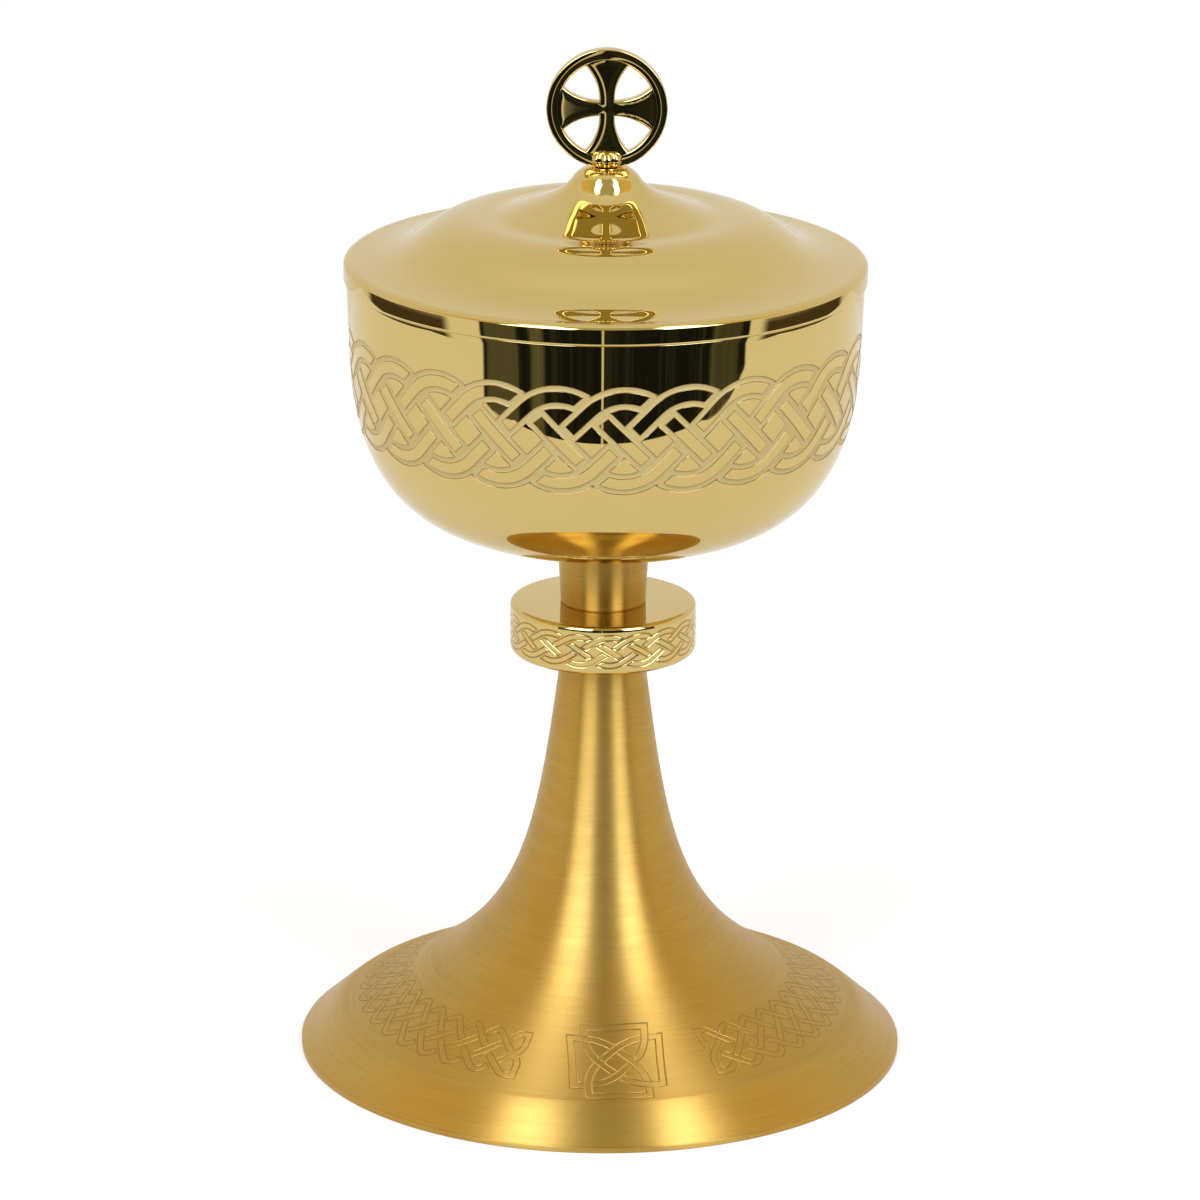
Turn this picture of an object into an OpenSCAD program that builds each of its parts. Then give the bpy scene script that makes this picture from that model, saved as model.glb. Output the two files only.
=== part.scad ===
// Covered ciborium: a spun trumpet foot, a banded knop, a short collar and a round bowl drawn
// together by one tie rod, under a loose lid that carries a wheel cross.
// Millimetres. +Z is up, the origin is on the axis at the table, and the cross faces -Y.

/* [Foot] */
// Diameter of the foot over its lip
foot_d = 144; // [124:1:170]
// Height of the foot, from the table to the underside of the knop
foot_h = 99.5; // [88:0.5:115]
// Height of the flat ring that the lip is soldered to
rim_ring_h = 1.5; // [1:0.1:3]
// Radial width of the flat ring
rim_ring_w = 2; // [1.6:0.1:4]
// Width of the sloping lip, from its edge in to the crease
lip_w = 9.4; // [7:0.2:12]
// Rise of the sloping lip, from the flat ring to the crease
lip_rise = 7.9; // [6:0.1:10]
// Slope of the lip at its edge, rise over run
lip_edge_slope = 0.8; // [0.5:0.05:1.2]
// Reach of the lip's curve in from its edge
lip_edge_reach = 2.5; // [1.5:0.1:4]
// Reach of the lip's curve out from the crease
lip_crease_reach = 3; // [2:0.1:4]
// Slope of the flare where it leaves the crease, rise over run
flare_slope = 0.44; // [0.3:0.01:0.55]
// Reach of the flare's curve in from the crease
flare_reach = 43.6; // [32:0.2:48]
// Diameter of the neck at its top
neck_d = 19.4; // [17:0.2:24]
// Taper of the neck at its top, radius over height
neck_taper = 0.128; // [0.08:0.004:0.18]
// Drop of the neck's curve from its top
neck_drop = 55; // [45:1:65]
// Sheet thickness of the foot
foot_wall = 1.2; // [0.8:0.1:1.8]

/* [Stem] */
// Diameter of the knop
knop_d = 44; // [36:0.5:54]
// Height of the knop
knop_h = 12.2; // [9:0.2:16]
// Rounding of the knop's two edges
knop_edge_r = 1.2; // [0.6:0.1:2]
// Height of the collar, from the knop to the bowl
collar_h = 17.6; // [14:0.2:24]
// Diameter of the collar where it stands on the knop
collar_low_d = 20.1; // [18.6:0.1:24]
// Diameter of the collar under the bowl
collar_top_d = 22; // [18.6:0.2:26]

/* [Tie rod] */
// Diameter of the tie rod
rod_d = 6; // [5:0.5:7]
// Radial room for the rod in the pieces that it passes through
rod_room = 0.2; // [0.1:0.05:0.4]
// Radial room left by a plain screwed or soldered fit
fit_room = 0.05; // [0.03:0.01:0.08]
// Height of the plug inside the top of the neck
plug_h = 10; // [6:0.5:16]
// Outer diameter of the plain washer
washer_d = 14; // [12.5:0.5:15]
// Thickness of the plain washer
washer_t = 1.2; // [0.8:0.1:2]
// Outer diameter of the lock washer
lock_washer_d = 11; // [10:0.5:12]
// Thickness of the lock washer
lock_washer_t = 1.4; // [1:0.1:2]
// Width of the nut across its flats
nut_flats = 10; // [9.5:0.5:11]
// Height of the nut
nut_h = 5; // [4:0.5:7]
// Length of the rod that stands out below the nut
rod_tail = 3; // [1:0.5:8]
// Wall of the tapped boss under the bowl
boss_wall = 3.2; // [2:0.1:3.4]
// Height of the tapped boss
boss_h = 8; // [5:0.5:11]
// Floor left in the boss above the end of the rod
boss_floor = 1; // [0.6:0.1:2]

/* [Bowl] */
// Diameter of the bowl at its rim
bowl_d = 120.8; // [104:0.4:136]
// Height of the bowl, from the collar to its rim
bowl_h = 60.7; // [54:0.1:72]
// Height of the nearly upright wall below the rim
bowl_upright = 19.2; // [14:0.2:22]
// Inward lean of that wall over its height
bowl_lean = 0.8; // [0.2:0.1:2]
// Drop of the rounded bottom's curve below the wall
bowl_drop = 31.4; // [26:0.2:34]
// Diameter of the flat under the bowl
bowl_flat_d = 42.8; // [34:0.2:50]
// Reach of the rounded bottom's curve out from the flat
bowl_reach = 20.6; // [14:0.2:24]
// Sheet thickness of the bowl
bowl_wall = 1.2; // [0.8:0.1:1.8]

/* [Lid] */
// Overhang of the lid's skirt past the rim of the bowl
lid_overhang = 0.6; // [0.4:0.05:1]
// Height of the upright skirt
skirt_h = 3.6; // [2.6:0.1:5]
// Gap between the skirt and the rim of the bowl
skirt_gap = 0.05; // [0.03:0.01:0.2]
// Width of the rounded shoulder over the skirt
shoulder_w = 2.6; // [2:0.1:3.4]
// Height of the rounded shoulder
shoulder_h = 1.25; // [0.9:0.05:1.8]
// Diameter of the soft ridge round the crown
ridge_d = 63; // [54:0.5:70]
// Rise of the brim from the shoulder to the ridge
brim_rise = 9.2; // [6:0.1:12]
// Reach of the brim's curve in from the shoulder
brim_reach = 13.5; // [10:0.1:14.5]
// Reach of the brim's curve out from the ridge
ridge_reach = 6.5; // [4:0.1:9]
// Rise of the crown from the ridge to the top of the lid
crown_rise = 12.4; // [9:0.1:16]
// Reach of the crown's curve in from the ridge
crown_reach = 15.8; // [11:0.1:18]
// Diameter of the crown below its rounded top edge
crown_d = 13.2; // [12:0.1:15]
// Height of the crown's rounded top edge
crown_edge_h = 1.2; // [0.8:0.1:1.6]
// Slope of the crown below its top edge, rise over run
crown_slope = 1.17; // [0.9:0.01:1.4]
// Reach of the crown's curve out from its top edge
crown_top_reach = 2.75; // [2:0.05:4]
// Diameter of the flat on top of the crown
crown_flat_d = 9; // [8.8:0.1:10]
// Sheet thickness of the lid
lid_wall = 1; // [0.7:0.1:1.3]

/* [Lid flange] */
// Thickness of the flange's web, which rests on the rim of the bowl
web_t = 1.2; // [0.8:0.1:1.8]
// Depth of the flange's sleeve inside the bowl
sleeve_h = 8; // [5:0.5:12]
// Wall of the flange's sleeve
sleeve_wall = 0.8; // [0.6:0.1:1.2]
// Radial room between the sleeve and the bowl
sleeve_room = 0.4; // [0.3:0.05:0.8]

/* [Finial] */
// Diameter of the wheel
wheel_d = 28; // [24:0.5:34]
// Radial width of the wheel's ring
ring_w = 2.8; // [2:0.1:3.6]
// Thickness of the wheel's ring
ring_t = 3; // [2.4:0.1:3.6]
// Thickness of the cross inside the ring
cross_t = 2.2; // [1.6:0.1:2.4]
// Width of the cross's arms where they meet
arm_waist = 3.5; // [2.4:0.1:4.6]
// Width of the cross's arms at the ring
arm_end = 9.9; // [8.5:0.1:11]
// Radius of the hollow sides of the arms
arm_side_r = 12.2; // [10:0.2:20]
// Height of the wheel's lowest point over the lid
wheel_lift = 0.6; // [0.4:0.1:1]
// Diameter of the knuckle's lower bead
knuckle_d = 8.4; // [7.6:0.1:8.8]
// Height of the knuckle's lower bead
bead_low_h = 1.7; // [1.3:0.1:2.2]
// Height of the knuckle's upper bead
bead_top_h = 2.1; // [1.6:0.1:2.6]
// Step in from the lower bead to the upper bead
bead_step = 0.35; // [0.2:0.05:0.6]
// Diameter of the spigot under the knuckle
spigot_d = 3; // [2.5:0.1:3.4]
// Thickness of the washer inside the lid
lid_washer_t = 0.5; // [0.4:0.1:0.8]
// Outer diameter of the washer inside the lid
lid_washer_d = 6.8; // [6:0.2:7]
// Thickness of the lock washer inside the lid
lid_lock_t = 0.6; // [0.4:0.1:0.9]
// Outer diameter of the lock washer inside the lid
lid_lock_d = 5.6; // [5.2:0.1:6]
// Width of the lid nut across its flats
lid_nut_flats = 5.5; // [5:0.1:6]
// Height of the lid nut
lid_nut_h = 2.4; // [1.8:0.1:3]
// Length of the spigot that stands out below the lid nut
spigot_tail = 0.8; // [0.4:0.1:1.6]

/* [Hidden] */
$fn = 96;
curve_steps = 20;
cut = 1;

polished = [0.86, 0.72, 0.40];
satin = [0.80, 0.62, 0.27];
hardware = [0.72, 0.58, 0.32];

foot_r = foot_d / 2;
crease = [foot_r - lip_w, rim_ring_h + lip_rise];
neck_top = [neck_d / 2, foot_h];
neck_bore_r = neck_d / 2 - foot_wall;
knop_top = foot_h + knop_h;
bowl_bottom = knop_top + collar_h;
rim_z = bowl_bottom + bowl_h;
rim_r = bowl_d / 2;
rim_bore_r = rim_r - bowl_wall;

rod_r = rod_d / 2;
rod_hole_r = rod_r + rod_room;
boss_r = rod_r + fit_room + boss_wall;
boss_z = bowl_bottom - boss_h;
rod_top = bowl_bottom - boss_floor;
plug_z = foot_h - plug_h;
washer_z = plug_z - washer_t;
lock_washer_z = washer_z - lock_washer_t;
nut_z = lock_washer_z - nut_h;
rod_z = nut_z - rod_tail;

skirt_r = rim_r + lid_overhang;
skirt_z = rim_z + skirt_gap;
shoulder = [skirt_r - shoulder_w, skirt_z + skirt_h + shoulder_h];
ridge = [ridge_d / 2, shoulder[1] + brim_rise];
lid_top = ridge[1] + crown_rise;
crown_edge = [crown_d / 2, lid_top - crown_edge_h];
brim_start_slope = 0.035;
ridge_slope = 0.03;

web_r = skirt_r - lid_wall - fit_room;
sleeve_r = rim_bore_r - bowl_lean * sleeve_h / bowl_upright - sleeve_room;

wheel_r = wheel_d / 2;
wheel_z = lid_top + wheel_lift + wheel_r;
ring_bore_r = wheel_r - ring_w;
knuckle_r = knuckle_d / 2;
spigot_r = spigot_d / 2;
spigot_hole_r = spigot_r + rod_room;
lid_washer_z = lid_top - lid_wall - lid_washer_t;
lid_lock_z = lid_washer_z - lid_lock_t;
lid_nut_z = lid_lock_z - lid_nut_h;
spigot_z = lid_nut_z - spigot_tail;

// Point on a cubic curve from p0 to p3, drawn towards p1 and p2
function cubic(p0, p1, p2, p3, t) =
    pow(1 - t, 3) * p0 + 3 * pow(1 - t, 2) * t * p1 + 3 * (1 - t) * t * t * p2 + pow(t, 3) * p3;

// The same curve as a row of points
function curve(p0, p1, p2, p3) =
    [for (i = [0 : curve_steps]) cubic(p0, p1, p2, p3, i / curve_steps)];

// A path without its first point, and without its last
function after_first(path) = [for (i = [1 : len(path) - 1]) path[i]];
function before_last(path) = [for (i = [0 : len(path) - 2]) path[i]];

function reversed(path) = [for (i = [len(path) - 1 : -1 : 0]) path[i]];

// Unit vector to the left of a path at one of its points
function left_of(path, i) =
    let (step = path[min(i + 1, len(path) - 1)] - path[max(i - 1, 0)])
    [-step[1], step[0]] / norm(step);

// A path moved to its left by a distance
function shifted(path, distance) =
    [for (i = [0 : len(path) - 1]) path[i] + distance * left_of(path, i)];

// Outside of the foot in half section, from the edge of the lip up to the neck
function foot_outside() = concat(
    curve(
        [foot_r, rim_ring_h],
        [foot_r - lip_edge_reach, rim_ring_h + lip_edge_reach * lip_edge_slope],
        crease + lip_crease_reach * [1, -1.1 * flare_slope],
        crease
    ),
    after_first(curve(
        crease,
        crease + flare_reach * [-1, flare_slope],
        neck_top + neck_drop * [neck_taper, -1],
        neck_top
    ))
);

// Outside of the bowl in half section, from the axis out and up to the rim
function bowl_outside() = concat(
    [[0, bowl_bottom]],
    curve(
        [bowl_flat_d / 2, bowl_bottom],
        [bowl_flat_d / 2 + bowl_reach, bowl_bottom],
        [rim_r - bowl_lean * (1 + bowl_drop / bowl_upright), rim_z - bowl_upright - bowl_drop],
        [rim_r - bowl_lean, rim_z - bowl_upright]
    ),
    [[rim_r, rim_z]]
);

// Outside of the lid above its shoulder in half section, in to the axis
function lid_crown() = concat(
    curve(
        shoulder,
        shoulder + brim_reach * [-1, brim_start_slope],
        ridge + ridge_reach * [1, -ridge_slope],
        ridge
    ),
    after_first(curve(
        ridge,
        ridge + crown_reach * [-1, -ridge_slope],
        crown_edge + crown_top_reach * [1, -crown_slope],
        crown_edge
    )),
    after_first(curve(
        crown_edge,
        crown_edge + crown_edge_h * 0.6 * [-1 / crown_slope, 1],
        [(crown_flat_d + crown_d) / 4, lid_top],
        [crown_flat_d / 2, lid_top]
    )),
    [[0, lid_top]]
);

// Outside of the lid below its brim, up the skirt and round the shoulder
function lid_skirt() = concat(
    [[skirt_r, skirt_z]],
    curve(
        [skirt_r, skirt_z + skirt_h],
        [skirt_r, skirt_z + skirt_h + shoulder_h * 0.55],
        [shoulder[0] + shoulder_w * 0.55, shoulder[1]],
        shoulder
    )
);

// Tube standing at a height
module tube(outer_r, inner_r, height, z) {
    difference() {
        translate([0, 0, z])
            cylinder(r = outer_r, h = height);
        translate([0, 0, z - cut])
            cylinder(r = inner_r, h = height + 2 * cut);
    }
}

// Hexagon nut standing at a height, with a plain hole
module hex_nut(flats, hole_r, height, z) {
    difference() {
        translate([0, 0, z])
            cylinder(d = flats / cos(30), h = height, $fn = 6);
        translate([0, 0, z - cut])
            cylinder(r = hole_r, h = height + 2 * cut);
    }
}

// Half-round bead in half section, as a square with its outer side rounded
module bead_section(outer_r, height, z) {
    round_r = height / 2;
    translate([0, z])
        square([outer_r - round_r, height]);
    translate([outer_r - round_r, z + round_r])
        circle(r = round_r);
}

// Disc across the wheel's axis, which runs along Y through its centre
module wheel_disc(radius, thickness) {
    translate([0, 0, wheel_z])
        rotate([90, 0, 0])
            linear_extrude(height = thickness, center = true)
                circle(r = radius);
}

module foot_shell() {
    outside = foot_outside();
    inside = shifted(outside, foot_wall);
    edge_run = foot_wall * norm([1, lip_edge_slope]) / lip_edge_slope;
    lip_inside = [for (p = inside) if (p[1] > rim_ring_h && p[0] < foot_r - edge_run) p];
    color(satin)
        rotate_extrude()
            polygon(concat(
                outside,
                [[neck_bore_r, foot_h]],
                reversed(before_last(lip_inside)),
                [[foot_r - edge_run, rim_ring_h]]
            ));
}

module foot_rim_ring() {
    color(satin)
        tube(foot_r, foot_r - rim_ring_w, rim_ring_h, 0);
}

module foot_neck_plug() {
    plug_top_r = neck_bore_r - fit_room;
    color(hardware)
        difference() {
            translate([0, 0, plug_z])
                cylinder(r1 = plug_top_r + neck_taper * plug_h, r2 = plug_top_r, h = plug_h);
            translate([0, 0, plug_z - cut])
                cylinder(r = rod_hole_r, h = plug_h + 2 * cut);
        }
}

module tie_rod() {
    color(hardware)
        translate([0, 0, rod_z])
            cylinder(r = rod_r, h = rod_top - rod_z);
}

module tie_rod_washer() {
    color(hardware)
        tube(washer_d / 2, rod_hole_r, washer_t, washer_z);
}

module tie_rod_lock_washer() {
    color(hardware)
        tube(lock_washer_d / 2, rod_hole_r, lock_washer_t, lock_washer_z);
}

module tie_rod_nut() {
    color(hardware)
        hex_nut(nut_flats, rod_r + fit_room, nut_h, nut_z);
}

module knop() {
    core_r = knop_d / 2 - knop_edge_r;
    core_z = foot_h + knop_edge_r;
    color(polished)
        difference() {
            rotate_extrude()
                union() {
                    translate([0, foot_h])
                        square([core_r, knop_h]);
                    translate([0, core_z])
                        square([knop_d / 2, knop_h - 2 * knop_edge_r]);
                    for (z = [core_z, knop_top - knop_edge_r])
                        translate([core_r, z])
                            circle(r = knop_edge_r);
                }
            translate([0, 0, foot_h - cut])
                cylinder(r = rod_hole_r, h = knop_h + 2 * cut);
        }
}

module stem_collar() {
    color(satin)
        difference() {
            translate([0, 0, knop_top])
                cylinder(d1 = collar_low_d, d2 = collar_top_d, h = collar_h);
            translate([0, 0, knop_top - cut])
                cylinder(r = rod_hole_r, h = collar_h + 2 * cut);
            translate([0, 0, boss_z])
                cylinder(r = boss_r + rod_room, h = boss_h + cut);
        }
}

module bowl() {
    outside = bowl_outside();
    inside = before_last(shifted(outside, bowl_wall));
    color(polished)
        rotate_extrude()
            polygon(concat(outside, [[rim_bore_r, rim_z]], reversed(inside)));
}

module bowl_boss() {
    color(hardware)
        difference() {
            translate([0, 0, boss_z])
                cylinder(r = boss_r, h = boss_h);
            translate([0, 0, boss_z - cut])
                cylinder(r = rod_r + fit_room, h = boss_h - boss_floor + cut);
        }
}

module lid_flange() {
    color(polished)
        union() {
            tube(web_r, sleeve_r - sleeve_wall, web_t, rim_z);
            tube(sleeve_r, sleeve_r - sleeve_wall, sleeve_h + web_t, rim_z - sleeve_h);
        }
}

module lid_shell() {
    crown = lid_crown();
    skirt_bore_r = skirt_r - lid_wall;
    color(polished)
        difference() {
            rotate_extrude()
                polygon(concat(
                    lid_skirt(),
                    after_first(crown),
                    reversed(shifted(crown, lid_wall)),
                    [[skirt_bore_r, shoulder[1] - lid_wall], [skirt_bore_r, skirt_z]]
                ));
            translate([0, 0, lid_top - lid_wall - cut])
                cylinder(r = spigot_hole_r, h = lid_wall + 2 * cut);
        }
}

module finial_knuckle() {
    color(polished) {
        difference() {
            rotate_extrude()
                union() {
                    bead_section(knuckle_r, bead_low_h, lid_top);
                    bead_section(knuckle_r - bead_step, bead_top_h, lid_top + bead_low_h);
                }
            wheel_disc(wheel_r + fit_room, ring_t + 2 * fit_room);
        }
        translate([0, 0, spigot_z])
            cylinder(r = spigot_r, h = lid_top + wheel_lift / 2 - spigot_z);
    }
}

module wheel_ring() {
    color(polished)
        difference() {
            wheel_disc(wheel_r, ring_t);
            wheel_disc(ring_bore_r, ring_t + 2 * cut);
        }
}

// One opening between two arms, as the overlap of two discs that hollow their sides
module wheel_window() {
    inner = arm_waist / 2 * [1, 1];
    outer = [arm_end / 2, sqrt(pow(ring_bore_r, 2) - pow(arm_end / 2, 2))];
    chord = outer - inner;
    across = [chord[1], -chord[0]] / norm(chord);
    centre = (inner + outer) / 2 + across * sqrt(pow(arm_side_r, 2) - pow(norm(chord) / 2, 2));
    intersection() {
        translate(centre)
            circle(r = arm_side_r);
        translate([centre[1], centre[0]])
            circle(r = arm_side_r);
    }
}

module wheel_cross() {
    color(polished)
        translate([0, 0, wheel_z])
            rotate([90, 0, 0])
                linear_extrude(height = cross_t, center = true)
                    difference() {
                        circle(r = ring_bore_r - fit_room);
                        for (turn = [0 : 90 : 270])
                            rotate(turn)
                                wheel_window();
                    }
}

module finial_washer() {
    color(hardware)
        tube(lid_washer_d / 2, spigot_hole_r, lid_washer_t, lid_washer_z);
}

module finial_lock_washer() {
    color(hardware)
        tube(lid_lock_d / 2, spigot_hole_r, lid_lock_t, lid_lock_z);
}

module finial_nut() {
    color(hardware)
        hex_nut(lid_nut_flats, spigot_r + fit_room, lid_nut_h, lid_nut_z);
}

foot_shell();
foot_rim_ring();
foot_neck_plug();
tie_rod();
tie_rod_washer();
tie_rod_lock_washer();
tie_rod_nut();
knop();
stem_collar();
bowl();
bowl_boss();
lid_flange();
lid_shell();
finial_knuckle();
wheel_ring();
wheel_cross();
finial_washer();
finial_lock_washer();
finial_nut();
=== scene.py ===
import math

import bmesh
import bpy
from mathutils import Matrix, Vector
from mathutils.geometry import delaunay_2d_cdt
from mathutils.kdtree import KDTree


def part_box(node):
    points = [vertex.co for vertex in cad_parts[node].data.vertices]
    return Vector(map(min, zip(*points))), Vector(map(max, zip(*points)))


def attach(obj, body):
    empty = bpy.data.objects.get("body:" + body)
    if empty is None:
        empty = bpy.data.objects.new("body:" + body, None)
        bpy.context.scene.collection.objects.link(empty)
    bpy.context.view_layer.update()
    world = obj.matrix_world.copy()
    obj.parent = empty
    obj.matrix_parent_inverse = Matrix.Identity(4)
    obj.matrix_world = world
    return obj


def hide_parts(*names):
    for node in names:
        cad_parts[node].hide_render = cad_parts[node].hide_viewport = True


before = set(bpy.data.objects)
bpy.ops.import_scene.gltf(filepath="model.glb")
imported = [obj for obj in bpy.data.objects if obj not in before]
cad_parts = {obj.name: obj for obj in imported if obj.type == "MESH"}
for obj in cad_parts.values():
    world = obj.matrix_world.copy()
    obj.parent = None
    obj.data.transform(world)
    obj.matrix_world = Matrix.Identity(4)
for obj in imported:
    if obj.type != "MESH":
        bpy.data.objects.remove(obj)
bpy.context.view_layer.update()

# The pieces are in millimetres until each is finished. Materials, table and camera are in metres.
MM = 0.001
WELD = 0.001
FULL_TURN = 2 * math.pi
WHITE = (1, 1, 1, 1)

# The engraving faces a little to the right of the camera.
FRONT_TURN = math.radians(4.4)

# Foot
FOOT_R = 72.0
RIM_RING_H = 1.5
RIM_RING_W = 2.0
CREASE = Vector((62.6, 9.4))
NECK_TOP = Vector((9.7, 99.5))
FOOT_WALL = 1.2
FOOT_BAND_TOP = 24.6

# Knop and collar
KNOP_R = 22.0
KNOP_TOP = 111.4
KNOP_EDGE = 1.2
ROD_HOLE_R = 3.2
COLLAR_LOW_R = 10.05
COLLAR_TOP_R = 11.0

# Bowl
BOWL_BOTTOM = 129.3
RIM = Vector((60.4, 190.0))
BOWL_FLAT_R = 21.4
BOWL_WALL = 1.2

# Lid
SKIRT_R = 61.0
SKIRT_Z = 190.05
SHOULDER = Vector((58.4, 194.9))
BRIM_MIDDLE = Vector((43.0, 200.3))
RIDGE = Vector((29.2, 205.2))
CROWN_MIDDLE = Vector((16.55, 208.35))
CROWN_EDGE = Vector((7.73, 214.19))
LID_TOP = 216.5
CROWN_FLAT_R = 4.6
LID_WALL = 1.0
SPIGOT_R = 1.5
SPIGOT_HOLE_R = 1.7

# Wheel cross
WHEEL_R = 14.0
RING_BORE_R = 11.2
RING_T = 3.0
CROSS_T = 2.96
ARM_WAIST = 3.5
ARM_END = 9.9
ARM_SIDE_R = 12.2
OPENING_EDGE = 0.6
WHEEL_Z = LID_TOP + WHEEL_R


def curve(start, start_pull, end_pull, end, steps):
    """Points on a curve from start to end, drawn towards the two pull points."""
    points = []
    for i in range(steps + 1):
        t = i / steps
        u = 1 - t
        points.append(u**3 * start + 3 * u * u * t * start_pull + 3 * u * t * t * end_pull + t**3 * end)
    return points


def bend(start, corner, end, steps):
    """Points on a soft bend from start to end that follows the two sides of a corner."""
    return curve(start, start.lerp(corner, 2 / 3), end.lerp(corner, 2 / 3), end, steps)


def rounded(path, radii, steps=4):
    """A path with each of its inner corners rounded off by its own radius."""
    points = [path[0]]
    for before, corner, after, radius in zip(path, path[1:], path[2:], radii):
        start = corner + (before - corner).normalized() * radius
        end = corner + (after - corner).normalized() * radius
        points += bend(start, corner, end, steps)
    return points + [path[-1]]


def beside(path, distance):
    """The line that runs to the left of an open or closed path at a distance, with mitred corners."""
    closed = (path[0] - path[-1]).length < WELD
    befores = [path[-2] if closed else path[0]] + path[:-1]
    afters = path[1:] + [path[1] if closed else path[-1]]
    line = []
    for before, here, after in zip(befores, path, afters):
        steps = [step for step in (here - before, after - here) if step.length > 1e-9]
        sides = [Vector((-step.y, step.x)).normalized() for step in steps]
        mitre = (sides[0] + sides[-1]).normalized()
        line.append(here + mitre * distance / max(mitre.dot(sides[0]), 0.4))
    return line


def stations(path):
    """Distance along a path to each of its points."""
    marks = [0.0]
    for a, b in zip(path, path[1:]):
        marks.append(marks[-1] + (b - a).length)
    return marks


def cut_at(path, distance):
    """A path in two at a distance along it: the part before and the part after."""
    marks = stations(path)
    i = max(k for k in range(len(path) - 1) if marks[k] <= distance)
    point = path[i].lerp(path[i + 1], (distance - marks[i]) / (marks[i + 1] - marks[i]))
    before = [p for p, mark in zip(path, marks) if mark < distance - WELD] + [point]
    after = [point] + [p for p, mark in zip(path, marks) if mark > distance + WELD]
    return before, after


def thinned(path, every):
    """Every few points of a path, with both of its ends."""
    return path[:-1:every] + [path[-1]]


def turned(sections, steps):
    """Half sections of (radius, height) points, spun once round the axis from the front."""
    bm = bmesh.new()
    for section in sections:
        row = [bm.verts.new((0, -p.x, p.y)) for p in section]
        for a, b in zip(row, row[1:]):
            bm.edges.new((a, b))
    bmesh.ops.spin(
        bm, geom=bm.verts[:] + bm.edges[:], cent=(0, 0, 0), axis=(0, 0, 1), dvec=(0, 0, 0),
        angle=FULL_TURN, steps=steps, use_merge=True, use_duplicate=False,
    )
    bmesh.ops.remove_doubles(bm, verts=bm.verts, dist=WELD)
    return bm


def gap_between(point, path):
    """Distance from a point to the nearest part of a path."""
    nearest = math.inf
    for a, b in zip(path, path[1:]):
        along = b - a
        t = max(0.0, min(1.0, (point - a).dot(along) / along.length_squared))
        nearest = min(nearest, (point - a - along * t).length)
    return nearest


def dipped(line, over, reach):
    """The parts of a line that stay in view where it dips under another strand of half width reach."""
    gaps = [gap_between(point, over) - reach for point in line]
    parts = [[]]
    for i, point in enumerate(line):
        if gaps[i] > 0:
            parts[-1].append(point)
        if i + 1 < len(line) and gaps[i] * gaps[i + 1] < 0:
            parts[-1].append(point.lerp(line[i + 1], gaps[i] / (gaps[i] - gaps[i + 1])))
            if gaps[i] > 0:
                parts.append([])
    return [part for part in parts if len(part) > 1]


def strand_sides(path, strand_w, overs, gap):
    """The parts in view of a strand's left and right side, where it dips under others at a gap."""
    sides = []
    for distance in (strand_w / 2, -strand_w / 2):
        parts = [beside(path, distance)]
        for over in overs:
            parts = [shown for part in parts for shown in dipped(part, over, strand_w / 2 + gap)]
        sides.append(parts)
    return sides


def strand_outlines(path, strand_w, overs, gap):
    """Grooves round the parts of a strand in view, squared off where the strand dips under others."""
    outlines = []
    first = path[0] - beside(path, strand_w / 2)[0]
    for left, right in zip(*strand_sides(path, strand_w, overs, gap)):
        from_start = (left[0] - path[0] + first).length < WELD
        to_end = ((left[-1] + right[-1]) / 2 - path[-1]).length < WELD
        if from_start and to_end:
            outlines += [left, right]
        elif from_start:
            outlines.append(left + right[::-1])
        elif to_end:
            outlines.append(left[::-1] + right)
        else:
            outlines.append(left + right[::-1] + left[:1])
    return outlines


def moved(lines, x, y):
    """Lines shifted to another place."""
    return [[point + Vector((x, y)) for point in line] for line in lines]


def falling_strand(pitch, half, slope, pieces):
    """Middle line of a plait strand, from a peak at x = 0 down to the trough two pitches on."""
    bend_r = (pitch * math.tan(slope) - half) / (1 / math.cos(slope) - 1)
    angles = [slope * i / 6 for i in range(7)]
    top = [Vector((bend_r * math.sin(a), half - bend_r * (1 - math.cos(a)))) for a in angles]
    foot = [Vector((2 * pitch - p.x, -p.y)) for p in reversed(top)]
    straight = [top[-1].lerp(foot[0], i / pieces) for i in range(1, pieces)]
    return top + straight + foot


def plait_overs(pitch, falling):
    """The three strands that pass over a strand whose peak is at x = 0."""
    rising_near = [Vector((pitch - p.x, p.y)) for p in falling]
    rising_far = [Vector((3 * pitch - p.x, p.y)) for p in falling]
    falling_next = [Vector((2 * pitch + p.x, p.y)) for p in falling]
    return [rising_near, rising_far, falling_next]


def plait_tile(pitch, half, slope, strand_w, gap, pieces):
    """Grooves of an endless four-strand plait, over one pitch and some way past it on both sides."""
    falling = falling_strand(pitch, half, slope, pieces)
    period = 4 * pitch
    wave = falling + [Vector((period - p.x, p.y)) for p in reversed(falling[1:-1])]
    shifts = (-period, 0, period)
    strand = [p for shift in shifts for p in moved([wave], shift, 0)[0]]
    overs = [line for shift in shifts for line in moved(plait_overs(pitch, falling), shift, 0)]
    outlines = strand_outlines(strand, strand_w, overs, gap)
    grooves = [line for line in outlines if 0 <= sum(p.x for p in line) / len(line) < period]
    return [line for k in range(-5, 2) for line in moved(grooves, k * pitch, 0)]


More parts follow.
